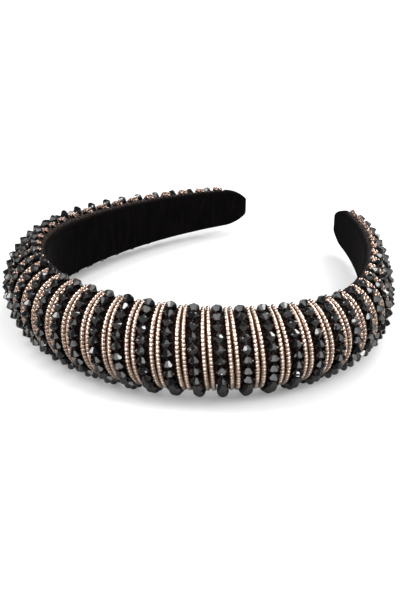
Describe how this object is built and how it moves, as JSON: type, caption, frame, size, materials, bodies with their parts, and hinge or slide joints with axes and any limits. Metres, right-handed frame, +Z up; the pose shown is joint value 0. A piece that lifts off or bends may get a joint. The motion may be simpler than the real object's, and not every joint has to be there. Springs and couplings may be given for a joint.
{
  "type": "padded crystal headband",
  "caption": "Open padded hoop worn over the head, domed outside and sewn with rows of black faceted crystals and double strings of rose-gold seed beads, velvet lined inside.",
  "frame": {"origin": "centre of the bounding box's bottom face, on the table that the headband lies on", "axes": "+X from the left leg to the right leg, +Y from the crown back to the open tips, +Z up from the table, across the band"},
  "size_m": [0.1594, 0.1715, 0.0378],
  "materials": {
    "satin_cover": "black satin weave over foam",
    "velvet": "short black velvet pile",
    "jet_crystal": "polished opaque jet black, cut facets",
    "thread": "black polyester thread",
    "rose_gold_beads": "metal-lined rose-gold glass seed beads"
  },
  "bodies": {
    "root": {"padded_hoop": "satin_cover", "velvet_lining": "velvet", "crystal_rows_left": "jet_crystal", "crystal_rows_right": "jet_crystal", "crystal_threads": "thread", "crystal_strings_left": "jet_crystal", "crystal_strings_right": "jet_crystal", "gold_bands_left": "rose_gold_beads", "gold_bands_middle": "rose_gold_beads", "gold_bands_right": "rose_gold_beads"}
  },
  "joints": []
}
